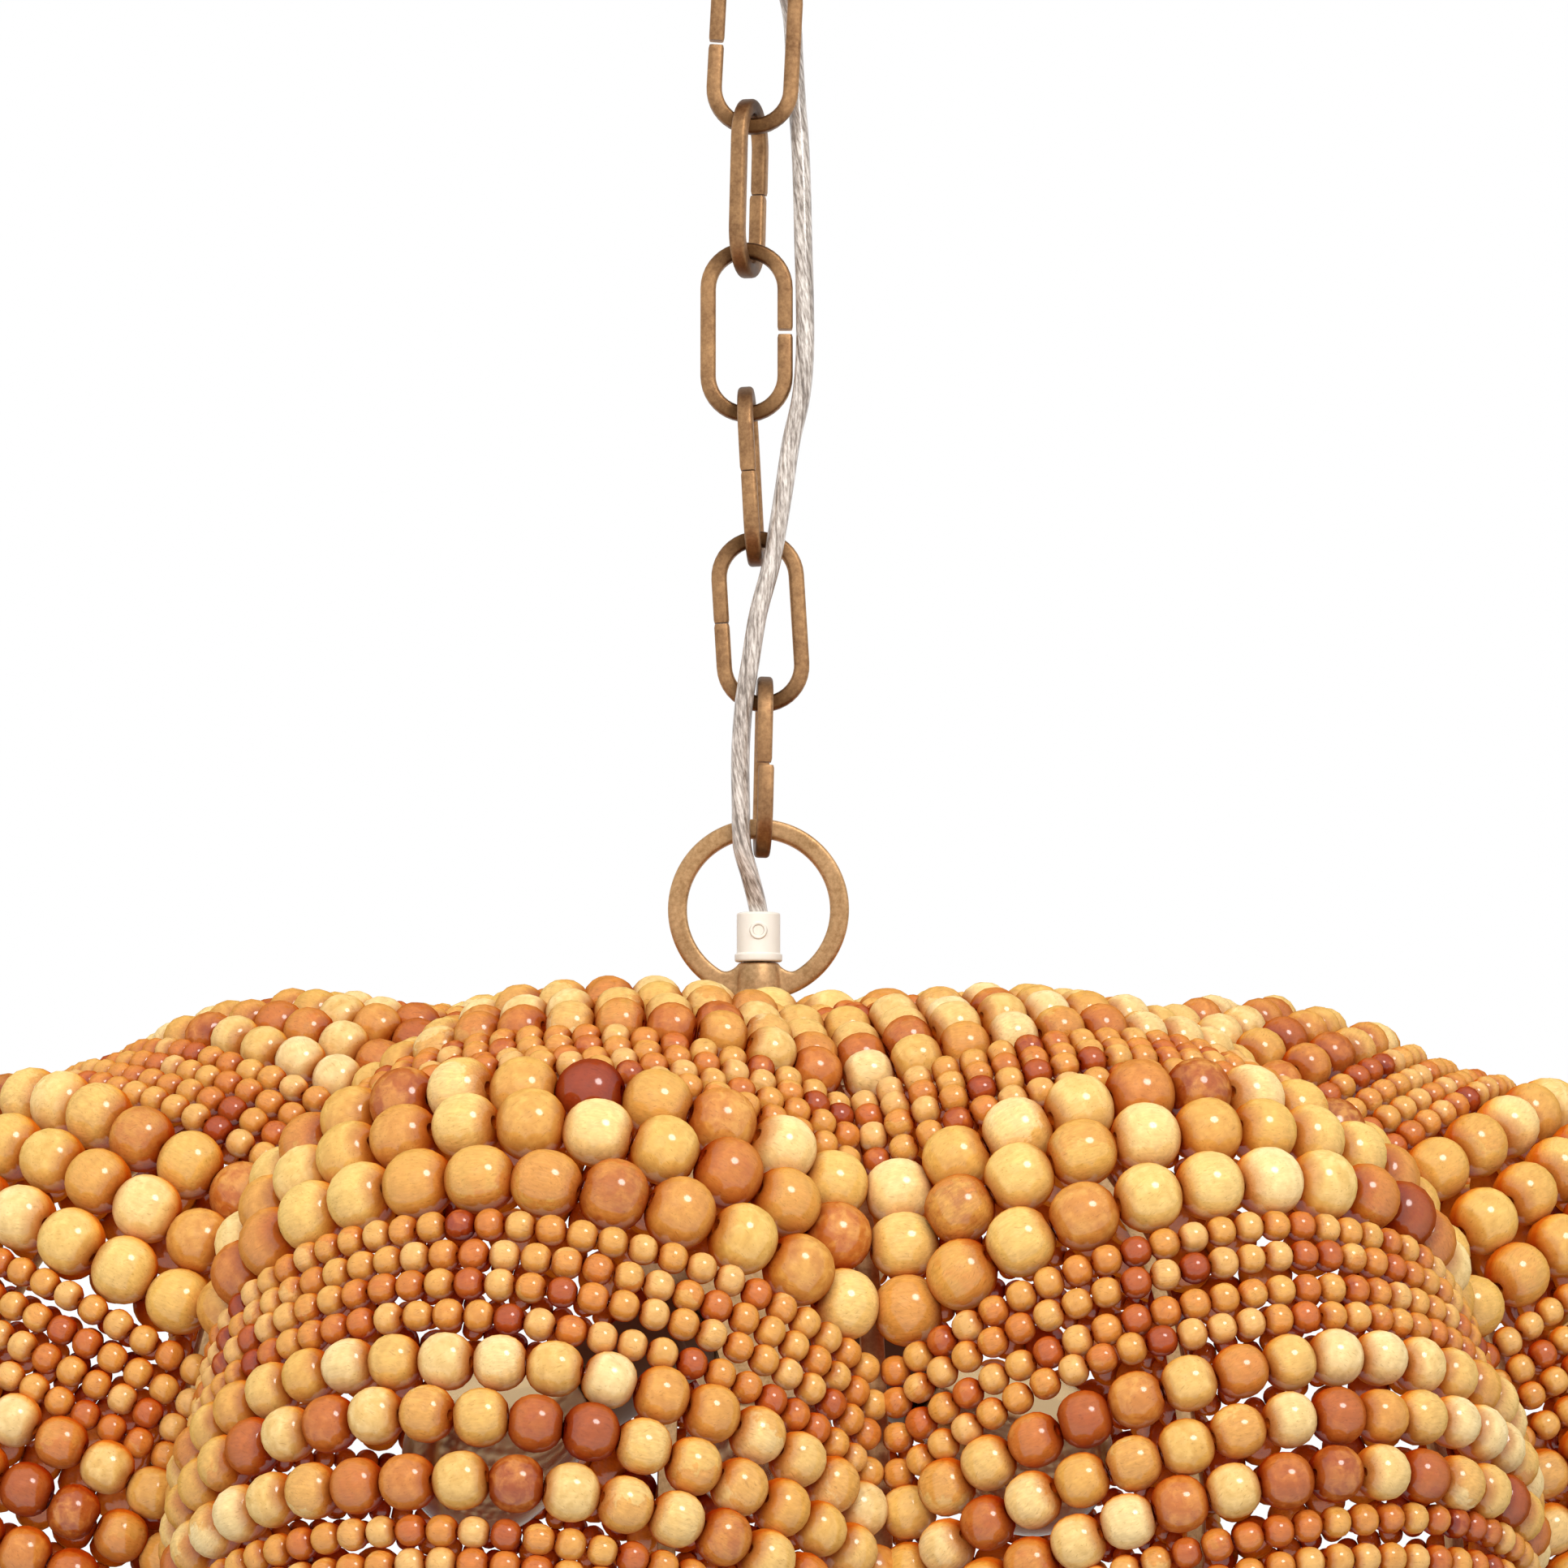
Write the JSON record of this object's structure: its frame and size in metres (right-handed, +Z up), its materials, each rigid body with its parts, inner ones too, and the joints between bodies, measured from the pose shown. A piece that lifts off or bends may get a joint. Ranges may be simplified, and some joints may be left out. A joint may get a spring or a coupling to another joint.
{
  "type": "beaded chandelier",
  "caption": "Pendant chandelier with a scalloped dome of wooden bead rows on a wire frame, hung by a chain of split links from a ceiling canopy.",
  "frame": {"origin": "on the ceiling, at the middle of the bracket's top face", "axes": "+Z up to the ceiling, -Y towards the viewer of the picture, +X to the viewer's right"},
  "size_m": [0.5882, 0.5882, 0.5933],
  "materials": {
    "large_bead": "gloss lacquer",
    "medium_bead": "gloss lacquer",
    "small_bead": "gloss lacquer",
    "antique_brass": "satin, darkened",
    "plain_steel": "plain",
    "ivory_plastic": "satin",
    "clear_cord": "clear over tinned strands",
    "bulb_glass": "clear"
  },
  "bodies": {
    "ceiling": {"ceiling_bracket": "plain_steel", "threaded_nipple": "plain_steel", "nipple_nut": "plain_steel", "canopy": "antique_brass", "collar_nut": "antique_brass", "canopy_loop": "antique_brass"},
    "link_1": {"chain_link_1": "antique_brass"},
    "link_2": {"chain_link_2": "antique_brass"},
    "link_3": {"chain_link_3": "antique_brass"},
    "link_4": {"chain_link_4": "antique_brass"},
    "link_5": {"chain_link_5": "antique_brass"},
    "link_6": {"chain_link_6": "antique_brass"},
    "shade": {"hanging_loop": "antique_brass", "cord_grip": "ivory_plastic", "grip_screw": "ivory_plastic", "supply_cord": "clear_cord", "top_cap": "antique_brass", "centre_stem": "plain_steel", "stem_spacer": "antique_brass", "wire_frame": "antique_brass", "hub_nut": "plain_steel", "lamp_cluster": "antique_brass", "lamp_socket_1": "ivory_plastic", "bulb_1": "bulb_glass", "lamp_socket_2": "ivory_plastic", "bulb_2": "bulb_glass", "lamp_socket_3": "ivory_plastic", "bulb_3": "bulb_glass", "cluster_finial": "antique_brass", "cap_large_row_1": "large_bead", "cap_large_row_2": "large_bead", "cap_large_row_3": "large_bead", "crown_small_row_1": "small_bead", "crown_small_row_2": "small_bead", "crown_small_row_3": "small_bead", "crown_small_row_4": "small_bead", "crown_medium_row_1": "medium_bead", "crown_medium_row_2": "medium_bead", "crown_medium_row_3": "medium_bead", "crown_medium_row_4": "medium_bead", "slope_small_row_1": "small_bead", "slope_small_row_2": "small_bead", "slope_small_row_3": "small_bead", "slope_small_row_4": "small_bead", "shoulder_large_row_1": "large_bead", "shoulder_large_row_2": "large_bead", "shoulder_large_row_3": "large_bead", "side_small_row_1": "small_bead", "side_small_row_2": "small_bead", "side_small_row_3": "small_bead", "side_small_row_4": "small_bead", "side_medium_row_1": "medium_bead", "side_medium_row_2": "medium_bead", "side_medium_row_3": "medium_bead", "skirt_small_row_1": "small_bead", "skirt_small_row_2": "small_bead", "skirt_small_row_3": "small_bead", "skirt_small_row_4": "small_bead", "rim_large_row_1": "large_bead"}
  },
  "joints": [
    {"name": "swing_1", "type": "hinge", "parent": "ceiling", "child": "link_1", "pos_m": [0, 0, -0.07335], "axis": [0, 1, 0], "range_deg": [-10, 10], "deforming": ["supply_cord"]},
    {"name": "swing_2", "type": "hinge", "parent": "link_1", "child": "link_2", "pos_m": [-0.00243, 0, -0.11589], "axis": [0.9992, 0.04, 0], "range_deg": [-10, 10], "deforming": ["supply_cord"]},
    {"name": "swing_3", "type": "hinge", "parent": "link_2", "child": "link_3", "pos_m": [-0.00354, 0, -0.15848], "axis": [0.2571, 0.9664, 0], "range_deg": [-10, 10], "deforming": ["supply_cord"]},
    {"name": "swing_4", "type": "hinge", "parent": "link_3", "child": "link_4", "pos_m": [-0.00354, 0, -0.20108], "axis": [1, 0, 0], "range_deg": [-10, 10], "deforming": ["supply_cord"]},
    {"name": "swing_5", "type": "hinge", "parent": "link_4", "child": "link_5", "pos_m": [-0.00095, 0, -0.24361], "axis": [0.06, 0.9982, 0], "range_deg": [-10, 10], "deforming": ["supply_cord"]},
    {"name": "swing_6", "type": "hinge", "parent": "link_5", "child": "link_6", "pos_m": [0.00195, 0, -0.28612], "axis": [1, 0, 0], "range_deg": [-10, 10], "deforming": ["supply_cord"]},
    {"name": "swing_7", "type": "hinge", "parent": "link_6", "child": "shade", "pos_m": [0.00085, 0, -0.32871], "axis": [-0.05, 0.9988, 0], "range_deg": [-10, 10], "deforming": ["supply_cord"]}
  ]
}
